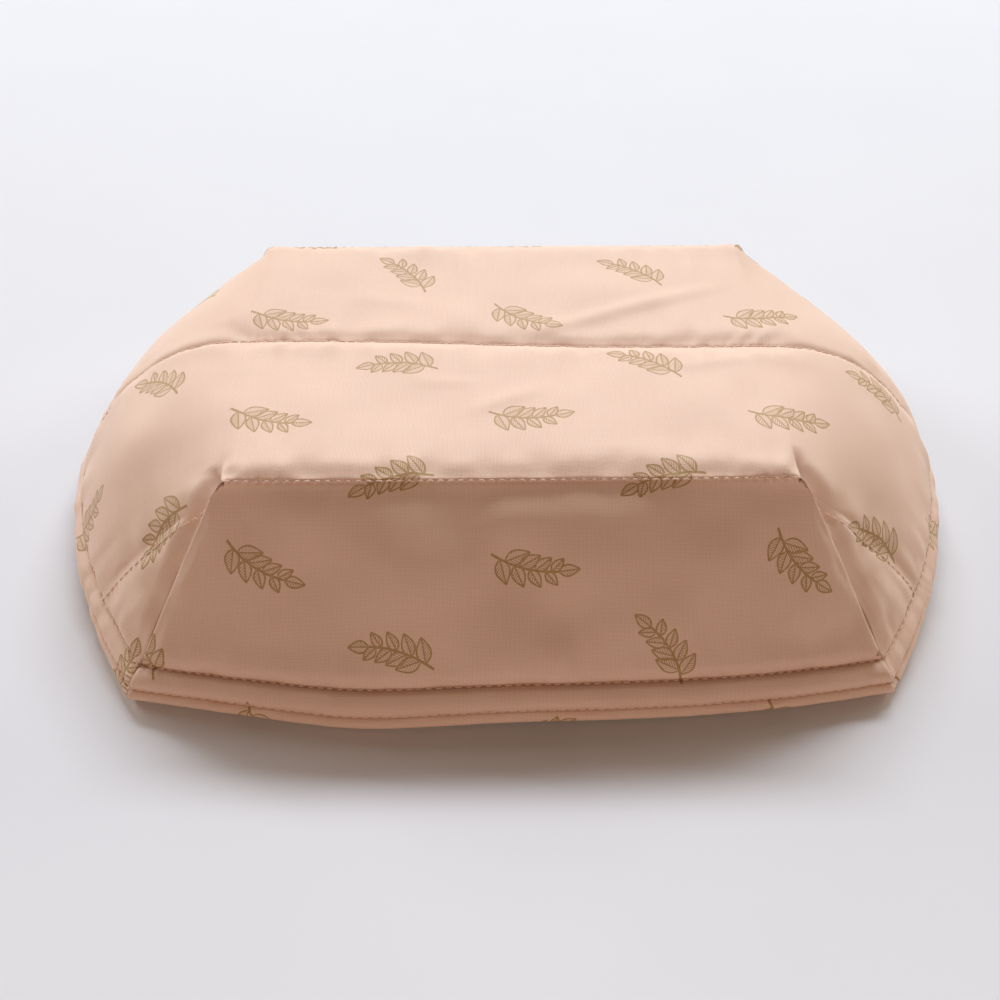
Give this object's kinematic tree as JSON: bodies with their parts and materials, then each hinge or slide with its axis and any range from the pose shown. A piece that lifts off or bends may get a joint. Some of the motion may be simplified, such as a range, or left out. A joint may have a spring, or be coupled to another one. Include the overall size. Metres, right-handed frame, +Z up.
{
  "type": "takeout container cozy",
  "caption": "Quilted cotton cozy for a rectangular takeout container, with flat base, darted corners and rounded padded flanks, lying base up on its rim.",
  "frame": {"origin": "Centre of the part's box, on the table that the rim's corners stand on.", "axes": "+Z up, from the rim to the base. +X runs along the quilting rows, from the left rounded flank to the right one. -Y faces the viewer. The part is shown base up, as pictured, and is turned over in use."},
  "size_m": [0.3272, 0.2284, 0.0698],
  "materials": {
    "printed_cotton": "matt plain-weave quilting cotton, pale peach with an antique gold print",
    "plain_cotton": "matt plain-weave cotton, cream",
    "cotton_wadding": "soft needled cotton wadding, natural white",
    "sewing_thread": "twisted cotton-wrapped sewing thread, pale peach, slight sheen"
  },
  "bodies": {
    "root": {"outer_shell": "printed_cotton", "outer_batting": "cotton_wadding", "lining_batting": "cotton_wadding", "lining": "plain_cotton", "shell_quilting_thread_front": "sewing_thread", "shell_quilting_thread_centre": "sewing_thread", "shell_quilting_thread_back": "sewing_thread", "lining_quilting_thread_front": "sewing_thread", "lining_quilting_thread_centre": "sewing_thread", "lining_quilting_thread_back": "sewing_thread", "shell_dart_thread_front_left": "sewing_thread", "shell_dart_thread_front_right": "sewing_thread", "shell_dart_thread_back_left": "sewing_thread", "shell_dart_thread_back_right": "sewing_thread", "lining_dart_thread_front_left": "sewing_thread", "lining_dart_thread_front_right": "sewing_thread", "lining_dart_thread_back_left": "sewing_thread", "lining_dart_thread_back_right": "sewing_thread", "rim_edge_topstitch": "sewing_thread", "rim_edge_bobbin_thread": "sewing_thread", "rim_inner_topstitch": "sewing_thread", "rim_inner_bobbin_thread": "sewing_thread", "rim_seam_thread": "sewing_thread"}
  },
  "joints": []
}
